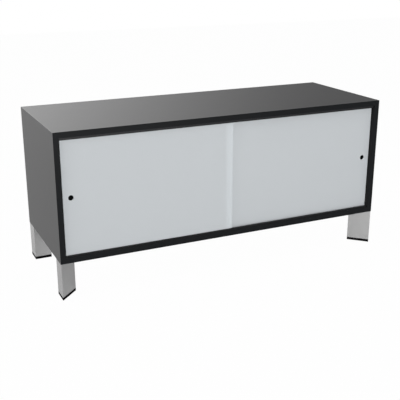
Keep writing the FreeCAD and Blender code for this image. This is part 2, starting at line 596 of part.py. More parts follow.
def add_partition():
    """The upright panel between the two bays, behind the door tracks."""
    panel = add_piece("centre_partition", z=MIDDLE_HEIGHT)
    half = "Sizes.board_thickness / 2"
    sketch = add_sketch(panel, "XY_Plane", "outline")
    draw_rectangle(sketch, f"-{half}", half, PARTITION_CORE_FRONT, INNER_REAR)
    add_pad(panel, sketch, "board", INNER_HEIGHT, symmetric=True)

    sketch = add_sketch(panel, "XY_Plane", "dowel_circle", out=f"{INNER_HEIGHT} / 2")
    draw_circle(sketch, "0", DOWEL_FIRST, DOWEL_HOLE_RADIUS)
    depth = "Sizes.dowel_partition_depth + Sizes.dowel_end_clearance"
    hole = add_pocket(panel, sketch, "dowel_hole", depth)
    row = ("Y_Axis", DOWEL_ROW_LENGTH, "Sizes.dowels_per_row")
    add_repeats(panel, [hole], "dowel_holes", row, "XY_Plane")

    sketch = add_sketch(panel, "YZ_Plane", "pin_circle")
    draw_circle(sketch, PIN_ROW_FRONT, PIN_ROW_BOTTOM, PIN_HOLE_RADIUS)
    hole = add_pocket(panel, sketch, "pin_hole", symmetric=True)
    rows = ("Z_Axis", PIN_ROW_LENGTH, "Sizes.pin_holes_per_row"), ("Y_Axis", PIN_ROW_SPACING, "2")
    add_repeats(panel, [hole], "pin_holes", *rows)

    sketch = add_sketch(panel, "XZ_Plane", "screw_circle", out=f"-{INNER_REAR}")
    draw_circle(sketch, "0", f"-{BACK_SCREW_ROW} / 2", BACK_SCREW_HOLE_RADIUS)
    hole = add_pocket(panel, sketch, "screw_hole", BACK_SCREW_HOLE_DEPTH, reverse=True)
    add_repeats(panel, [hole], "screw_holes", ("Z_Axis", BACK_SCREW_ROW, "Sizes.back_screws"))


def add_inner_band(label, x, z, front, length, turn=0):
    """A band on the front edge of the partition or a shelf, square at its ends."""
    band = add_piece(label, x=x, z=z, axis=Y_AXIS, turn=turn)
    half = "Sizes.board_thickness / 2"
    sketch = add_sketch(band, "YZ_Plane", "section")
    draw_rectangle(sketch, front, f"{front} + Sizes.edge_band_thickness", f"-{half}", half)
    add_pad(band, sketch, "strip", length, symmetric=True)
    face = size(front)
    add_fillet(
        band,
        "rounding",
        lambda edge: runs_along(edge, X_AXIS) and lies_at(edge, 1, face),
        BAND_ROUNDING,
    )


def add_partition_dowels():
    """The dowels between the partition and the top and bottom panels."""
    dowels = add_piece("partition_dowels", z=MIDDLE_HEIGHT)
    sketch = add_sketch(dowels, "YZ_Plane", "profile", x=DOWEL_FIRST, y=f"{INNER_HEIGHT} / 2")
    low = "-Sizes.dowel_partition_depth"
    high = "Sizes.dowel_panel_depth"
    draw_polygon(sketch, [
        ("0", low),
        ("Sizes.dowel_radius - Sizes.dowel_chamfer", low),
        ("Sizes.dowel_radius", f"{low} + Sizes.dowel_chamfer"),
        ("Sizes.dowel_radius", f"{high} - Sizes.dowel_chamfer"),
        ("Sizes.dowel_radius - Sizes.dowel_chamfer", high),
        ("0", high),
    ])
    dowel = add_revolution(dowels, sketch, "dowel", "V_Axis")
    row = ("Y_Axis", DOWEL_ROW_LENGTH, "Sizes.dowels_per_row")
    add_repeats(dowels, [dowel], "rows", row, "XY_Plane")


def add_back_screws():
    """The pan head screws through the back panel into the partition."""
    screws = add_piece("back_panel_screws", y=BACK_REAR, z=MIDDLE_HEIGHT)
    sketch = add_sketch(screws, "XY_Plane", "profile", out=f"-{BACK_SCREW_ROW} / 2")
    tip = "-Sizes.back_screw_length"
    shoulder = "Sizes.back_screw_head_radius"
    draw_polygon(sketch, [
        ("0", tip),
        ("Sizes.back_screw_radius", f"{tip} + Sizes.back_screw_tip_length"),
        ("Sizes.back_screw_radius", "0"),
        (shoulder, "0"),
        (shoulder, "Sizes.back_screw_head_height / 2"),
        (f"{shoulder} - Sizes.back_screw_head_height / 2", "Sizes.back_screw_head_height"),
        ("0", "Sizes.back_screw_head_height"),
    ])
    screw = add_revolution(screws, sketch, "screw", "V_Axis")
    sketch = add_sketch(
        screws, "XZ_Plane", "cross", y=f"-{BACK_SCREW_ROW} / 2", out="-Sizes.back_screw_head_height"
    )
    reach = "Sizes.back_screw_slot_length / 2"
    half = "Sizes.back_screw_slot_width / 2"
    draw_polygon(sketch, [
        (f"-{half}", f"-{reach}"),
        (half, f"-{reach}"),
        (half, f"-{half}"),
        (reach, f"-{half}"),
        (reach, half),
        (half, half),
        (half, reach),
        (f"-{half}", reach),
        (f"-{half}", half),
        (f"-{reach}", half),
        (f"-{reach}", f"-{half}"),
        (f"-{half}", f"-{half}"),
    ])
    recess = add_pocket(screws, sketch, "recess", "Sizes.back_screw_slot_depth", reverse=True)
    add_repeats(screws, [screw, recess], "row", ("Z_Axis", BACK_SCREW_ROW, "Sizes.back_screws"))


def add_shelf(label, x):
    """A shelf on its pins, clear of the doors in front and the panels beside it."""
    shelf = add_piece(label, x=x, z=SHELF_BOTTOM)
    sketch = add_sketch(shelf, "XY_Plane", "outline")
    draw_rectangle(sketch, f"-{SHELF_LENGTH} / 2", f"{SHELF_LENGTH} / 2", SHELF_CORE_FRONT, INNER_REAR)
    add_pad(shelf, sketch, "board", "Sizes.board_thickness")


def add_shelf_pins(label, x):
    """The four collared pins under one shelf."""
    pins = add_piece(label, x=x, z=PIN_LEVEL)
    face = f"(-{BAY_WIDTH} / 2)"
    collar_end = f"({face} + Sizes.pin_collar_thickness)"
    collar_radius = "Sizes.pin_radius + Sizes.pin_collar_height"
    sketch = add_sketch(pins, "XZ_Plane", "profile", out=f"-{PIN_ROW_FRONT}")
    draw_polygon(sketch, [
        (f"{face} - {PIN_DEPTH}", "0"),
        (f"{face} - {PIN_DEPTH}", "Sizes.pin_radius"),
        (face, "Sizes.pin_radius"),
        (face, collar_radius),
        (collar_end, collar_radius),
        (collar_end, "Sizes.pin_radius"),
        (f"{face} + Sizes.pin_reach", "Sizes.pin_radius"),
        (f"{face} + Sizes.pin_reach", "0"),
    ])
    pin = add_revolution(pins, sketch, "pin", "H_Axis")
    add_repeats(pins, [pin], "rows", "YZ_Plane", ("Y_Axis", PIN_ROW_SPACING, "2"))


add_back_panel()
add_partition()
add_inner_band("partition_edge_band", "0", MIDDLE_HEIGHT, PARTITION_FRONT, INNER_HEIGHT, turn=90)
add_partition_dowels()
add_back_screws()
for name, side in (("left", LEFT), ("right", RIGHT)):
    bay = f"{side} * {BAY_MIDDLE}"
    add_shelf(f"{name}_shelf", bay)
    add_inner_band(f"{name}_shelf_edge_band", bay, SHELF_MIDDLE, SHELF_FRONT, SHELF_LENGTH)
    add_shelf_pins(f"{name}_shelf_pins", bay)

# Doors. The left pane runs in the front channel and the right pane in the rear one.


def add_track(label, z, height, rib_height, turn):
    """A track with two channels, drawn with its channels opening upwards."""
    track = add_piece(label, y=TRACK_MIDDLE, z=z, axis=X_AXIS, turn=turn)
    half = f"{TRACK_WIDTH} / 2"
    wall = "Sizes.track_wall"
    floor = "Sizes.track_floor"
    sketch = add_sketch(track, "YZ_Plane", "section")
    draw_polygon(sketch, [
        (f"-{half}", "0"),
        (half, "0"),
        (half, height),
        (f"{half} - {wall}", height),
        (f"{half} - {wall}", floor),
        (f"{wall} / 2", floor),
        (f"{wall} / 2", rib_height),
        (f"-{wall} / 2", rib_height),
        (f"-{wall} / 2", floor),
        (f"-{half} + {wall}", floor),
        (f"-{half} + {wall}", height),
        (f"-{half}", height),
    ])
    length = f"{INNER_WIDTH} - 2 * Sizes.track_end_clearance"
    add_pad(track, sketch, "profile", length, symmetric=True)
    lips = size(height), size(rib_height)
    add_fillet(
        track,
        "lips",
        lambda edge: runs_along(edge, X_AXIS) and any(lies_at(edge, 2, lip) for lip in lips),
        LIP_ROUNDING,
    )


def add_pane(label, side):
    """A glass door with polished arrises and a finger hole at mid-height of the body."""
    middle = f"({PANE_BOTTOM} + {PANE_TOP}) / 2"
    pane = add_piece(label, x=f"{side} * {DOOR_OFFSET}", y=channel_middle(side), z=middle)
    half_width = f"({DOOR_WIDTH} / 2)"
    half_height = f"(({PANE_TOP} - {PANE_BOTTOM}) / 2)"
    sketch = add_sketch(pane, "XZ_Plane", "outline")
    draw_rectangle(sketch, f"-{half_width}", half_width, f"-{half_height}", half_height)
    add_pad(pane, sketch, "sheet", "Sizes.glass_thickness", symmetric=True)
    sketch = add_sketch(pane, "XZ_Plane", "finger_circle")
    hole_x = f"{side} * ({half_width} - Sizes.finger_hole_inset)"
    hole_y = f"{MIDDLE_HEIGHT} - {middle}"
    draw_circle(sketch, hole_x, hole_y, "Sizes.finger_hole_radius")
    add_pocket(pane, sketch, "finger_hole", symmetric=True)
    face = size("Sizes.glass_thickness / 2")
    add_chamfer(
        pane,
        "arris",
        lambda edge: lies_at(edge, 1, face) or lies_at(edge, 1, -face),
        "Sizes.glass_edge_chamfer",
    )


def channel_middle(side):
    """Where the middle of a door's channel lies, front to rear."""
    return f"{TRACK_MIDDLE} + {side} * {CHANNEL_OFFSET}"


def add_glides(label, side):
    """The two glides bonded under a pane."""
    glides = add_piece(label, x=f"{side} * {DOOR_OFFSET}", y=channel_middle(side), z=GLIDE_BOTTOM)
    half = "(Sizes.track_channel / 2 - Sizes.glide_side_clearance)"
    end = f"(-{DOOR_WIDTH} / 2 + Sizes.glide_inset)"
    sketch = add_sketch(glides, "XY_Plane", "outline")
    draw_rectangle(sketch, end, f"{end} + Sizes.glide_length", f"-{half}", half)
    glide = add_pad(glides, sketch, "glide", "Sizes.glide_height")
    add_repeats(glides, [glide], "pair", "YZ_Plane")


def add_track_stops():
    """The rubber stops at both ends of both lower channels."""
    stops = add_piece("track_end_stops", y=TRACK_MIDDLE, z=CHANNEL_FLOOR)
    start = f"(-{INNER_WIDTH} / 2 + Sizes.track_end_clearance)"
    end = f"(-{INNER_WIDTH} / 2 + Sizes.door_end_clearance + Sizes.glide_inset - Sizes.stop_clearance)"
    sketch = add_sketch(stops, "XY_Plane", "outline")
    near = f"(-{CHANNEL_OFFSET} - Sizes.track_channel / 2)"
    draw_rectangle(sketch, start, end, near, f"{near} + Sizes.track_channel")
    stop = add_pad(stops, sketch, "stop", "Sizes.glide_height - Sizes.stop_top_clearance")
    add_repeats(stops, [stop], "set", "YZ_Plane", "XZ_Plane")


lower_track_bottom = f"{INNER_FLOOR} - Sizes.track_recess"
upper_track_top = f"{TOTAL_HEIGHT} - Sizes.board_thickness + Sizes.track_recess"
add_track("lower_door_track", lower_track_bottom, LOWER_TRACK_HEIGHT, LOWER_RIB_HEIGHT, 0)
add_track("upper_door_track", upper_track_top, UPPER_TRACK_HEIGHT, UPPER_TRACK_HEIGHT, 180)
add_track_stops()
for name, side in (("left", LEFT), ("right", RIGHT)):
    add_pane(f"{name}_door_pane", side)
    add_glides(f"{name}_door_glides", side)

# Legs. Each is drawn with the square corner of its section at the origin.


def add_leg_section(body, height):
    """The full triangular section, padded to a height with rounded upright edges."""
    sketch = add_sketch(body, "XY_Plane", "section")
    draw_corner_triangle(sketch, "0")
    add_pad(body, sketch, "prism", height)
    add_fillet(body, "corners", lambda edge: runs_along(edge, Z_AXIS), "Sizes.leg_corner_rounding")


def add_leg(name, across, along, turn):
    """A leg profile, the foot plugged into its lower end and the block in its head."""
    x = f"{across} * {LEG_CORNER_X}"
    y = f"{along} * {LEG_CORNER_Y}"

    leg = add_piece(f"{name}_leg", x=x, y=y, z="Sizes.foot_height", turn=turn)
    add_leg_section(leg, LEG_TUBE_HEIGHT)
    sketch = add_sketch(leg, "XY_Plane", "hollow_lines")
    draw_corner_triangle(sketch, "Sizes.leg_wall")
    add_pocket(leg, sketch, "hollow", symmetric=True)

    foot = add_piece(f"{name}_foot", x=x, y=y, turn=turn)
    add_leg_section(foot, "Sizes.foot_height")
    add_chamfer(foot, "sole_edge", lambda edge: lies_at(edge, 2, 0), SOLE_CHAMFER)
    sketch = add_sketch(foot, "XY_Plane", "plug_lines", out="Sizes.foot_height")
    draw_corner_triangle(sketch, "(Sizes.leg_wall + Sizes.foot_plug_clearance)")
    add_pad(foot, sketch, "plug", "Sizes.foot_plug_height")

    block = add_piece(f"{name}_leg_block", x=x, y=y, z=BLOCK_BOTTOM, turn=turn)
    sketch = add_sketch(block, "XY_Plane", "outline")
    draw_corner_triangle(sketch, "(Sizes.leg_wall + Sizes.block_clearance)")
    add_pad(block, sketch, "body", "Sizes.block_thickness")
    sketch = add_sketch(block, "XY_Plane", "peg_circles", out="Sizes.block_thickness")
    for along_x, along_y in PEG_INSETS:
        draw_circle(sketch, along_x, along_y, "Sizes.peg_radius")
    add_pad(block, sketch, "pegs", "Sizes.peg_height")
    sketch = add_sketch(block, "XY_Plane", "bolt_circle")
    draw_circle(sketch, BOLT_INSET, BOLT_INSET, "Sizes.bolt_radius + Sizes.bolt_hole_clearance")
    add_pocket(block, sketch, "bolt_hole", symmetric=True)


def add_leg_bolts():
    """The four socket head bolts, up through the blocks."""
    bolts = add_piece("leg_bolts", z=BLOCK_BOTTOM)
    sketch = add_sketch(bolts, "XZ_Plane", "profile", x=BOLT_X, out=f"-{BOLT_Y}")
    head = "-Sizes.bolt_head_height"
    draw_polygon(sketch, [
        ("0", head),
        ("Sizes.bolt_head_radius", head),
        ("Sizes.bolt_head_radius", "0"),
        ("Sizes.bolt_radius", "0"),
        ("Sizes.bolt_radius", f"{BOLT_SHANK} - Sizes.bolt_tip_chamfer"),
        ("Sizes.bolt_radius - Sizes.bolt_tip_chamfer", BOLT_SHANK),
        ("0", BOLT_SHANK),
    ])
    bolt = add_revolution(bolts, sketch, "bolt", "V_Axis")
    sketch = add_sketch(bolts, "XY_Plane", "hexagon", x=BOLT_X, y=BOLT_Y, out=head)
    corner_radius = "Sizes.bolt_socket_width / sqrt(3)"
    corners = []
    for number in range(6):
        angle = f"{60 * number} deg"
        corners.append((f"{corner_radius} * cos({angle})", f"{corner_radius} * sin({angle})"))
    draw_polygon(sketch, corners)
    socket = add_pocket(bolts, sketch, "socket", "Sizes.bolt_socket_depth", reverse=True)
    add_repeats(bolts, [bolt, socket], "set", "YZ_Plane", "XZ_Plane")


def add_leg_inserts():
    """The four threaded inserts in the bottom panel."""
    inserts = add_piece("leg_inserts", z="Sizes.leg_height")
    sketch = add_sketch(inserts, "XZ_Plane", "profile", x=BOLT_X, out=f"-{BOLT_Y}")
    draw_rectangle(sketch, INSERT_BORE_RADIUS, INSERT_RADIUS, "0", "Sizes.insert_length")
    insert = add_revolution(inserts, sketch, "insert", "V_Axis")
    add_repeats(inserts, [insert], "set", "YZ_Plane", "XZ_Plane")


for name, across, along, turn in (
    ("rear_left", LEFT, REAR, 0),
    ("rear_right", RIGHT, REAR, 90),
    ("front_right", RIGHT, FORE, 180),
    ("front_left", LEFT, FORE, 270),
):
    add_leg(name, across, along, turn)
add_leg_bolts()
add_leg_inserts()

# Checks and files.


def check_model():
    """Stops if a feature failed, a cut took nothing away or a piece isn't a valid solid."""
    doc.recompute()
    for item in doc.Objects:
        if "Invalid" in item.State or "Error" in item.State:
            raise RuntimeError(f"{item.Label} failed: {item.State}")
        if item.TypeId == "PartDesign::Pocket" and item.Shape.Volume >= item.BaseFeature.Shape.Volume:
            raise RuntimeError(f"{item.Label} cuts nothing")
    for piece in pieces:
        if piece.Shape.isNull() or not piece.Shape.isValid() or not piece.Shape.Solids:
            raise RuntimeError(f"{piece.Label} is not a valid solid")


check_model()
os.makedirs("parts", exist_ok=True)
for piece in pieces:
    piece.Shape.exportStep(os.path.join("parts", f"{piece.Label}.step"))
    print(f"{piece.Label}: {len(piece.Shape.Solids)} solid(s), {piece.Shape.Volume:.1f} mm3")
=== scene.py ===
import math

import bpy
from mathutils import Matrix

# A low sideboard with two satin glass sliding doors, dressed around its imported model.
# Everything is in metres. The doors face -Y and the floor is z = 0.

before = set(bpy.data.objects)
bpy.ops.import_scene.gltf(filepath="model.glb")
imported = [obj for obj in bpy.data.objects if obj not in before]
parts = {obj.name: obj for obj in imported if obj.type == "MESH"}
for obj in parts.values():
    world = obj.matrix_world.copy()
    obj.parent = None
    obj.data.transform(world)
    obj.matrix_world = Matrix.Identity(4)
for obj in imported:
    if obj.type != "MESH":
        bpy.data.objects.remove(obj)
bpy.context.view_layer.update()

MM = 0.001

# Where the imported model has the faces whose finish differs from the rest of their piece.
INNER_HALF_WIDTH = 581.5 * MM
INNER_HALF_HEIGHT = 194 * MM
MIDDLE_HEIGHT = 337.5 * MM
INNER_REAR = 200 * MM
LEFT_PANE_FRONT = -208.5 * MM
RIGHT_PANE_FRONT = -200.5 * MM

# The share of the light that the etched face of a pane lets through.
PANE_CLEARNESS = 0.32


# Colours and shader nodes.


def linear(code):
    """A "#rrggbb" sRGB colour as linear red, green, blue and alpha."""
    shades = (int(code[i:i + 2], 16) / 255 for i in (1, 3, 5))
    return *(s / 12.92 if s <= 0.04045 else ((s + 0.055) / 1.055) ** 2.4 for s in shades), 1.0


def add_node(owner, kind, inputs=None, **settings):
    """Adds a shader node and returns its outputs. An input is a value or another's output."""
    node = owner.node_tree.nodes.new(f"ShaderNode{kind}")
    for name, value in settings.items():
        setattr(node, name, value)
    for socket, value in (inputs or {}).items():
        if isinstance(value, bpy.types.NodeSocket):
            owner.node_tree.links.new(value, node.inputs[socket])
        else:
            node.inputs[socket].default_value = value
    return node.outputs


def new_material(name):
    """An empty node material."""
    material = bpy.data.materials.new(name)
    material.use_nodes = True
    material.node_tree.nodes.clear()
    return material


# Finishes. A noise reads 0.3 to 0.7 over most of its area, so most ranges start from there.

NOISE_SPAN = {"From Min": 0.3, "From Max": 0.7}


def make_melamine():
    """Melamine-faced chipboard, black. Its outer face is pressed on a fine pearl plate and has a
    soft sheen that grows towards low angles, a little cloudy where the resin pooled. Its inner
    face is pressed on a matt plate and stays dark beside the doors."""
    board = new_material("black_pearl_melamine")
    place = add_node(board, "TexCoord")["Object"]
    cloud = add_node(board, "TexNoise", {"Vector": place, "Scale": 1 / (90 * MM), "Detail": 3})
    pooled = {"Value": cloud["Fac"], **NOISE_SPAN}
    resin = add_node(board, "MapRange", {**pooled, "To Min": 0, "To Max": 1})
    sheen = add_node(board, "MapRange", {**pooled, "To Min": 0.398, "To Max": 0.406})
    black = {0: resin["Result"], 6: linear("#171718"), 7: linear("#1b1b1c")}
    shade = add_node(board, "Mix", black, data_type="RGBA")[2]
    # The pearls are about 0.8 mm across, drawn at 2.5 mm so that they show.
    pearl = add_node(board, "TexNoise", {"Vector": place, "Scale": 1 / (2.5 * MM)})
    outer = add_node(board, "BsdfPrincipled", {
        "Base Color": shade,
        "Roughness": sheen["Result"],
        "Specular IOR Level": 0.5,
        "Normal": add_node(board, "Bump", {"Height": pearl["Fac"], "Distance": 0.02 * MM})[0],
    })
    inner = add_node(board, "BsdfPrincipled", {
        "Base Color": shade,
        "Roughness": 0.6,
        "Specular IOR Level": 0.1,
        "Normal": add_node(board, "Bump", {"Height": pearl["Fac"], "Distance": 0.01 * MM})[0],
    })
    # The inner faces lie between the side panels, between the top and bottom panels and in
    # front of the middle of the back panel.
    apart = add_node(board, "SeparateXYZ", {0: place})
    across = add_node(board, "Math", {0: apart["X"]}, operation="ABSOLUTE")[0]
    across = add_node(board, "Math", {0: across, 1: INNER_HALF_WIDTH}, operation="LESS_THAN")[0]
    height = {0: apart["Z"], 1: MIDDLE_HEIGHT, 2: INNER_HALF_HEIGHT}
    height = add_node(board, "Math", height, operation="COMPARE")[0]
    depth = add_node(board, "Math", {0: apart["Y"], 1: INNER_REAR}, operation="LESS_THAN")[0]
    between = add_node(board, "Math", {0: across, 1: height}, operation="MULTIPLY")[0]
    inside = add_node(board, "Math", {0: between, 1: depth}, operation="MULTIPLY")[0]
    face = add_node(board, "MixShader", {0: inside, 1: outer["BSDF"], 2: inner["BSDF"]})
    add_node(board, "OutputMaterial", {"Surface": face[0]})
    return board


def make_edging(name, stretch):
    """ABS edging, extruded, glued on and trimmed flush, black. It is duller than the melamine
    beside it, and the trimming cutter leaves faint lines along it."""
    band = new_material(name)
    place = add_node(band, "TexCoord")["Object"]
    along = add_node(band, "VectorMath", {0: place, 1: stretch}, operation="MULTIPLY")[0]
    # Cutter lines of 0.2 mm, drawn 1.2 mm wide and 40 times as long.
    cut = add_node(band, "TexNoise", {"Vector": along, "Scale": 1 / (1.2 * MM), "Detail": 3})
    lines = {"Value": cut["Fac"], **NOISE_SPAN}
    shade = add_node(band, "MapRange", {**lines, "To Min": 0, "To Max": 1})
    dull = add_node(band, "MapRange", {**lines, "To Min": 0.42, "To Max": 0.48})
    black = {0: shade["Result"], 6: linear("#0e1012"), 7: linear("#131517")}
    face = add_node(band, "BsdfPrincipled", {
        "Base Color": add_node(band, "Mix", black, data_type="RGBA")[2],
        "Roughness": dull["Result"],
        "Specular IOR Level": 0.11,
        "Normal": add_node(band, "Bump", {"Height": cut["Fac"], "Distance": 0.01 * MM})[0],
    })
    add_node(band, "OutputMaterial", {"Surface": face["BSDF"]})
    return band


def make_satin_glass(name, front):
    """Satin glass, acid-etched on its front face and polished on its back, with ground edges.
    It is an even milky white that a third of the light passes, so that a second pane behind
    the first makes it paler. The etched face lies at y = front."""
    glass = new_material(name)
    place = add_node(glass, "TexCoord")["Object"]
    # The etched crystals are a few hundredths of a millimetre, drawn at 1.2 mm.
    etch = add_node(glass, "TexNoise", {"Vector": place, "Scale": 1 / (1.2 * MM)})
    milk = add_node(glass, "MapRange", {"Value": etch["Fac"], **NOISE_SPAN})
    white = {0: milk["Result"], 6: linear("#e9eef2"), 7: linear("#ecf1f4")}
    face = add_node(glass, "BsdfPrincipled", {
        "Base Color": add_node(glass, "Mix", white, data_type="RGBA")[2],
        "Roughness": 0.6,
        "Specular IOR Level": 0.3,
        "Normal": add_node(glass, "Bump", {"Height": etch["Fac"], "Distance": 0.01 * MM})[0],
    })
    through = add_node(glass, "BsdfTransparent", {"Color": linear("#f1f4f6")})
    etched = add_node(glass, "MixShader", {0: PANE_CLEARNESS, 1: face["BSDF"], 2: through["BSDF"]})
    clear = add_node(glass, "BsdfTransparent", {"Color": linear("#fafcfb")})
    depth = add_node(glass, "SeparateXYZ", {0: place})["Y"]
    at_front = add_node(glass, "Math", {0: depth, 1: front + 1 * MM}, operation="LESS_THAN")[0]
    sheet = add_node(glass, "MixShader", {0: at_front, 1: clear["BSDF"], 2: etched[0]})
    ground = add_node(glass, "BsdfDiffuse", {"Color": linear("#e6eaed")})
    normal = add_node(glass, "NewGeometry")["True Normal"]
    turn = add_node(glass, "SeparateXYZ", {0: normal})["Y"]
    square_on = add_node(glass, "Math", {0: turn}, operation="ABSOLUTE")[0]
    on_face = add_node(glass, "Math", {0: square_on, 1: 0.9}, operation="GREATER_THAN")[0]
    pane = add_node(glass, "MixShader", {0: on_face, 1: ground["BSDF"], 2: sheet[0]})
    add_node(glass, "OutputMaterial", {"Surface": pane[0]})
    return glass


def make_leg_aluminium():
    """Extruded aluminium, brushed and anodised natural. The brushing runs up the leg, so light
    is drawn out along it, and the oxide takes the glitter off."""
    profile = new_material("brushed_anodised_aluminium")
    place = add_node(profile, "TexCoord")["Object"]
    up = add_node(profile, "VectorMath", {0: place, 1: (1, 1, 1 / 60)}, operation="MULTIPLY")[0]
    # Brush lines of 0.3 mm, drawn 0.8 mm wide and 60 times as long.
    brushed = add_node(profile, "TexNoise", {"Vector": up, "Scale": 1 / (0.8 * MM)})
    lines = {"Value": brushed["Fac"], **NOISE_SPAN}
    dull = add_node(profile, "MapRange", {**lines, "To Min": 0.34, "To Max": 0.42})
    cloud = add_node(profile, "TexNoise", {"Vector": place, "Scale": 1 / (40 * MM)})
    tints = {"Value": cloud["Fac"], **NOISE_SPAN}
    oxide = add_node(profile, "MapRange", tints)["Result"]
    grey = {0: oxide, 6: linear("#b4b4b4"), 7: linear("#b8b8b8")}
    face = add_node(profile, "BsdfPrincipled", {
        "Base Color": add_node(profile, "Mix", grey, data_type="RGBA")[2],
        "Metallic": 1.0,
        "Roughness": dull["Result"],
        "Normal": add_node(profile, "Bump", {"Height": brushed["Fac"], "Distance": 0.01 * MM})[0],
    })
    add_node(profile, "OutputMaterial", {"Surface": face["BSDF"]})
    return profile


def make_foot_polyethylene():
    """Polyethylene, moulded in a spark-eroded tool, black. Its fine even grain keeps it matt,
    with a waxy greyness."""
    foot = new_material("black_moulded_polyethylene")
    place = add_node(foot, "TexCoord")["Object"]
    # The grain is about 0.3 mm, drawn at 1 mm.
    grain = add_node(foot, "TexNoise", {"Vector": place, "Scale": 1 / (1 * MM), "Detail": 1})
    wax = add_node(foot, "MapRange", {"Value": grain["Fac"], **NOISE_SPAN})
    black = {0: wax["Result"], 6: linear("#111112"), 7: linear("#161617")}
    face = add_node(foot, "BsdfPrincipled", {
        "Base Color": add_node(foot, "Mix", black, data_type="RGBA")[2],
        "Roughness": 0.85,
        "Specular IOR Level": 0.0,
        "Normal": add_node(foot, "Bump", {"Height": grain["Fac"], "Distance": 0.03 * MM})[0],
    })
    add_node(foot, "OutputMaterial", {"Surface": face["BSDF"]})
    return foot


def make_stop_rubber():
    """Cut EPDM rubber, black. It is dead matt, with the grey bloom that such rubber sweats."""
    rubber = new_material("black_epdm_rubber")
    place = add_node(rubber, "TexCoord")["Object"]
    patches = add_node(rubber, "TexNoise", {"Vector": place, "Scale": 1 / (3 * MM), "Detail": 4})
    spread = {"Value": patches["Fac"], "From Min": 0.4, "From Max": 0.7}
    bloom = add_node(rubber, "MapRange", spread)
    black = {0: bloom["Result"], 6: linear("#151516"), 7: linear("#252526")}
    face = add_node(rubber, "BsdfPrincipled", {
        "Base Color": add_node(rubber, "Mix", black, data_type="RGBA")[2],
        "Roughness": 0.85,
        "Specular IOR Level": 0.3,
        "Normal": add_node(rubber, "Bump", {"Height": patches["Fac"], "Distance": 0.05 * MM})[0],
    })
    add_node(rubber, "OutputMaterial", {"Surface": face["BSDF"]})
    return rubber


def make_track_pvc():
    """Rigid PVC, extruded, black. The die draws straight lines along it, and it has a silky
    gloss between them."""
    track = new_material("black_extruded_pvc")
    place = add_node(track, "TexCoord")["Object"]
    along = add_node(track, "VectorMath", {0: place, 1: (1 / 80, 1, 1)}, operation="MULTIPLY")[0]
    # Die lines of 0.2 mm, drawn 0.7 mm wide and 80 times as long.
    drawn = add_node(track, "TexNoise", {"Vector": along, "Scale": 1 / (0.7 * MM)})
    lines = {"Value": drawn["Fac"], **NOISE_SPAN}
    silk = add_node(track, "MapRange", {**lines, "To Min": 0.36, "To Max": 0.46})
    shade = add_node(track, "MapRange", {**lines, "To Min": 0, "To Max": 1})
    black = {0: shade["Result"], 6: linear("#131415"), 7: linear("#17181a")}
    face = add_node(track, "BsdfPrincipled", {
        "Base Color": add_node(track, "Mix", black, data_type="RGBA")[2],
        "Roughness": silk["Result"],
        "Specular IOR Level": 0.3,
        "Normal": add_node(track, "Bump", {"Height": drawn["Fac"], "Distance": 0.02 * MM})[0],
    })
    add_node(track, "OutputMaterial", {"Surface": face["BSDF"]})
    return track


def make_block_aluminium():
    """Die-cast aluminium, as cast. It is a cloudy mid grey with soft flow marks and a sandy
    skin, and never shines like the brushed profile round it."""
    block = new_material("cast_aluminium")
    place = add_node(block, "TexCoord")["Object"]
    flow = {"Vector": place, "Scale": 1 / (12 * MM), "Detail": 4, "Distortion": 1.5}
    marks = add_node(block, "TexNoise", flow)
    cloud = add_node(block, "MapRange", {"Value": marks["Fac"], **NOISE_SPAN})
    grey = {0: cloud["Result"], 6: linear("#8b8c8e"), 7: linear("#a3a4a6")}
    # The skin is as rough as 0.1 mm sand, drawn at 0.8 mm.
    skin = add_node(block, "TexNoise", {"Vector": place, "Scale": 1 / (0.8 * MM)})
    face = add_node(block, "BsdfPrincipled", {
        "Base Color": add_node(block, "Mix", grey, data_type="RGBA")[2],
        "Metallic": 1.0,
        "Roughness": 0.55,
        "Normal": add_node(block, "Bump", {"Height": skin["Fac"], "Distance": 0.05 * MM})[0],
    })
    add_node(block, "OutputMaterial", {"Surface": face["BSDF"]})
    return block


def make_glide_acetal():
    """Acetal, moulded, natural white. It is slippery and slightly see-through at its edges, so
    it looks creamy, with a low gloss."""
    glide = new_material("natural_acetal")
    place = add_node(glide, "TexCoord")["Object"]
    # Mould grain of 0.3 mm, drawn at 1.5 mm.
    grain = add_node(glide, "TexNoise", {"Vector": place, "Scale": 1 / (1.5 * MM), "Detail": 1})
    cream = add_node(glide, "MapRange", {"Value": grain["Fac"], **NOISE_SPAN})
    white = {0: cream["Result"], 6: linear("#dbdad3"), 7: linear("#e2e1db")}
    face = add_node(glide, "BsdfPrincipled", {
        "Base Color": add_node(glide, "Mix", white, data_type="RGBA")[2],
        "Roughness": 0.38,
        "IOR": 1.48,
        "Normal": add_node(glide, "Bump", {"Height": grain["Fac"], "Distance": 0.01 * MM})[0],
    })
    add_node(glide, "OutputMaterial", {"Surface": face["BSDF"]})
    return glide


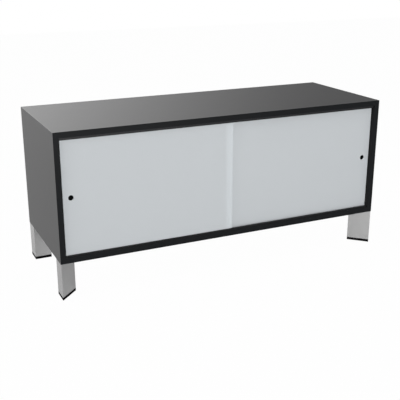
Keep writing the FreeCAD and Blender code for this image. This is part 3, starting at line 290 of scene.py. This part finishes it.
def make_beech(name, stretch):
    """Raw steamed beech, planed. It is pinkish brown with close year rings and the short dark
    rays that mark beech, and stays matt."""
    wood = new_material(name)
    place = add_node(wood, "TexCoord")["Object"]
    along = add_node(wood, "VectorMath", {0: place, 1: stretch}, operation="MULTIPLY")[0]
    # Year rings 2.5 mm apart. Rays of 0.1 mm, drawn 0.6 mm wide and 12 times as long.
    rings = add_node(wood, "TexNoise", {"Vector": along, "Scale": 1 / (2.5 * MM), "Detail": 3})
    rays = add_node(wood, "TexNoise", {"Vector": along, "Scale": 1 / (0.6 * MM), "Detail": 1})
    year = add_node(wood, "MapRange", {"Value": rings["Fac"], **NOISE_SPAN})
    fleck = add_node(wood, "MapRange", {"Value": rays["Fac"], "From Min": 0.62, "From Max": 0.72})
    brown = {0: year["Result"], 6: linear("#cfa982"), 7: linear("#bd9468")}
    ringed = add_node(wood, "Mix", brown, data_type="RGBA")[2]
    dark = {0: fleck["Result"], 6: ringed, 7: linear("#96704a")}
    face = add_node(wood, "BsdfPrincipled", {
        "Base Color": add_node(wood, "Mix", dark, data_type="RGBA")[2],
        "Roughness": 0.68,
        "Specular IOR Level": 0.3,
        "Normal": add_node(wood, "Bump", {"Height": rings["Fac"], "Distance": 0.04 * MM})[0],
    })
    add_node(wood, "OutputMaterial", {"Surface": face["BSDF"]})
    return wood


def make_zinc():
    """Steel, zinc-plated and blue passivated. It is bright but greasy looking, with a cold tint
    that wanders to a faint straw colour."""
    plated = new_material("zinc_plated_steel")
    place = add_node(plated, "TexCoord")["Object"]
    drift = add_node(plated, "TexNoise", {"Vector": place, "Scale": 1 / (6 * MM), "Detail": 2})
    film = {"Value": drift["Fac"], **NOISE_SPAN}
    tint = add_node(plated, "MapRange", {**film, "To Min": 0, "To Max": 1})
    haze = add_node(plated, "MapRange", {**film, "To Min": 0.24, "To Max": 0.36})
    silver = {0: tint["Result"], 6: linear("#aab2ba"), 7: linear("#bdbcb2")}
    face = add_node(plated, "BsdfPrincipled", {
        "Base Color": add_node(plated, "Mix", silver, data_type="RGBA")[2],
        "Metallic": 1.0,
        "Roughness": haze["Result"],
    })
    add_node(plated, "OutputMaterial", {"Surface": face["BSDF"]})
    return plated


def make_black_steel():
    """Screw steel, phosphated black. Fine crystals make it a dark grey that never mirrors."""
    steel = new_material("black_phosphated_steel")
    place = add_node(steel, "TexCoord")["Object"]
    # The crystals are 0.02 mm, drawn at 0.5 mm.
    crystals = add_node(steel, "TexNoise", {"Vector": place, "Scale": 1 / (0.5 * MM)})
    bite = add_node(steel, "MapRange", {"Value": crystals["Fac"], **NOISE_SPAN})
    dark = {0: bite["Result"], 6: linear("#272728"), 7: linear("#343435")}
    face = add_node(steel, "BsdfPrincipled", {
        "Base Color": add_node(steel, "Mix", dark, data_type="RGBA")[2],
        "Metallic": 1.0,
        "Roughness": 0.5,
        "Normal": add_node(steel, "Bump", {"Height": crystals["Fac"], "Distance": 0.02 * MM})[0],
    })
    add_node(steel, "OutputMaterial", {"Surface": face["BSDF"]})
    return steel


# Which finish each piece has, by the ending of its name. A long finish runs along its piece.

melamine = make_melamine()
level_edging = make_edging("black_abs_edging_level", (1 / 40, 1, 1))
upright_edging = make_edging("black_abs_edging_upright", (1, 1, 1 / 40))
zinc = make_zinc()
finishes = {
    "_panel": melamine,
    "_partition": melamine,
    "_shelf": melamine,
    "_edge_band": level_edging,
    "left_door_pane": make_satin_glass("satin_etched_glass_front_pane", LEFT_PANE_FRONT),
    "right_door_pane": make_satin_glass("satin_etched_glass_rear_pane", RIGHT_PANE_FRONT),
    "_track": make_track_pvc(),
    "_glides": make_glide_acetal(),
    "_stops": make_stop_rubber(),
    "_leg": make_leg_aluminium(),
    "_foot": make_foot_polyethylene(),
    "_leg_block": make_block_aluminium(),
    "_splines": make_beech("planed_beech_splines", (1, 1 / 12, 1)),
    "_dowels": make_beech("turned_beech_dowels", (1, 1, 1 / 12)),
    "_bolts": zinc,
    "_inserts": zinc,
    "_pins": zinc,
    "_screws": make_black_steel(),
}
UPRIGHT_BANDS = ("left_side", "right_side", "partition")

for name, part in parts.items():
    finish = next(finishes[ending] for ending in finishes if name.endswith(ending))
    if finish is level_edging and name.startswith(UPRIGHT_BANDS):
        finish = upright_edging
    part.data.materials.clear()
    part.data.materials.append(finish)


# The room: a pale floor, a white surround and soft light.

FLOOR_REACH = 8.0
FLOOR_WHITENESS = 0.985
FLOOR_MIRRORED = 0.42
AMBIENT = 0.28
LEFT_GLOW = 2.95
WALL_GLOW = 2.4

bpy.ops.object.select_all(action="DESELECT")
bpy.ops.mesh.primitive_plane_add(size=2 * FLOOR_REACH, location=(0, 0, 0))
floor = bpy.context.object
floor.name = "floor"
paint = new_material("matt_white_floor_paint")
path = add_node(paint, "LightPath")
# The floor is all but white to the camera and paler than lit to reflections, and keeps the
# shadow.
through = {0: path["Is Camera Ray"], 1: path["Is Transmission Ray"]}
direct = add_node(paint, "Math", through, operation="MAXIMUM")[0]
direct = add_node(paint, "Math", {0: direct, 1: FLOOR_WHITENESS}, operation="MULTIPLY")[0]
mirrored = {0: path["Is Glossy Ray"], 1: FLOOR_MIRRORED}
mirrored = add_node(paint, "Math", mirrored, operation="MULTIPLY")[0]
share = add_node(paint, "Math", {0: direct, 1: mirrored}, operation="MAXIMUM")[0]
matt = add_node(paint, "BsdfDiffuse", {"Color": linear("#c8c8c8")})
white = add_node(paint, "Emission", {"Color": (1, 1, 1, 1), "Strength": 1.0})
floor_mix = add_node(paint, "MixShader", {0: share, 1: matt["BSDF"], 2: white["Emission"]})
add_node(paint, "OutputMaterial", {"Surface": floor_mix[0]})
floor.data.materials.append(paint)

# The surround is white to the camera. In reflections it is brighter to the left and the rear,
# and it has a pale wall on the far right.
world = bpy.data.worlds.new("white_studio")
bpy.context.scene.world = world
world.use_nodes = True
world.node_tree.nodes.clear()
path = add_node(world, "LightPath")
seen = {0: path["Is Camera Ray"], 1: path["Is Glossy Ray"]}
seen = add_node(world, "Math", seen, operation="MAXIMUM")[0]
seen = {0: seen, 1: path["Is Transmission Ray"]}
seen = add_node(world, "Math", seen, operation="MAXIMUM")[0]
towards = add_node(world, "TexCoord")["Generated"]
aside = {0: towards, 1: (1, -0.3, 0)}
aside = add_node(world, "VectorMath", aside, operation="DOT_PRODUCT")["Value"]
across = {"Value": aside, "From Min": -0.47, "From Max": 0.37}
fade = {**across, "To Min": LEFT_GLOW, "To Max": AMBIENT}
glow = add_node(world, "MapRange", fade, interpolation_type="SMOOTHSTEP")["Result"]
right = add_node(world, "SeparateXYZ", {0: towards})["X"]
wall = {"Value": right, "From Min": 0.65, "From Max": 0.95, "To Max": WALL_GLOW}
wall = add_node(world, "MapRange", wall)["Result"]
glow = add_node(world, "Math", {0: glow, 1: wall}, operation="ADD")[0]
glow = add_node(world, "Mix", {0: path["Is Camera Ray"], 2: glow, 3: 1.0}, data_type="FLOAT")[0]
strength = add_node(world, "Mix", {0: seen, 2: AMBIENT, 3: glow}, data_type="FLOAT")[0]
surround = add_node(world, "Background", {"Color": (1, 1, 1, 1), "Strength": strength})
add_node(world, "OutputWorld", {"Surface": surround[0]})


def add_softbox(name, place, aim, side, watts):
    """A square lamp at a place, turned towards a point and out of the camera's sight."""
    lamp = bpy.data.lights.new(name, "AREA")
    lamp.shape = "SQUARE"
    lamp.size, lamp.energy = side, watts
    holder = bpy.data.objects.new(name, lamp)
    holder.location = place
    across, along, up = (a - p for a, p in zip(aim, place))
    tilt = math.atan2(up, math.hypot(across, along))
    holder.rotation_euler = (math.pi / 2 + tilt, 0, -math.atan2(across, along))
    holder.visible_camera = False
    bpy.context.scene.collection.objects.link(holder)


add_softbox("front_softbox", (0.2, -5.3, 1.1), (0, 0, 0.35), 1.8, 138)
add_softbox("left_softbox", (-3.9, -0.8, 1.3), (-0.6, 0, 0.3), 1.5, 38)
add_softbox("overhead_softbox", (0, -0.3, 3.2), (0, -0.3, 0), 3.0, 45)
add_softbox("rear_softbox", (-2.6, 2.8, 1.6), (-1.5, 1.4, 0), 1.5, 30)

CAMERA_DOWN, CAMERA_TURN = 18.526, 25.124
lens = bpy.data.cameras.new("camera")
lens.lens = 66.618
lens.sensor_width = 36
camera = bpy.data.objects.new("camera", lens)
camera.location = (-1.11346, -2.34215, 1.05841)
camera.rotation_euler = (math.radians(90 - CAMERA_DOWN), 0, math.radians(-CAMERA_TURN))

scene = bpy.context.scene
scene.collection.objects.link(camera)
scene.camera = camera
scene.view_settings.view_transform = "Standard"
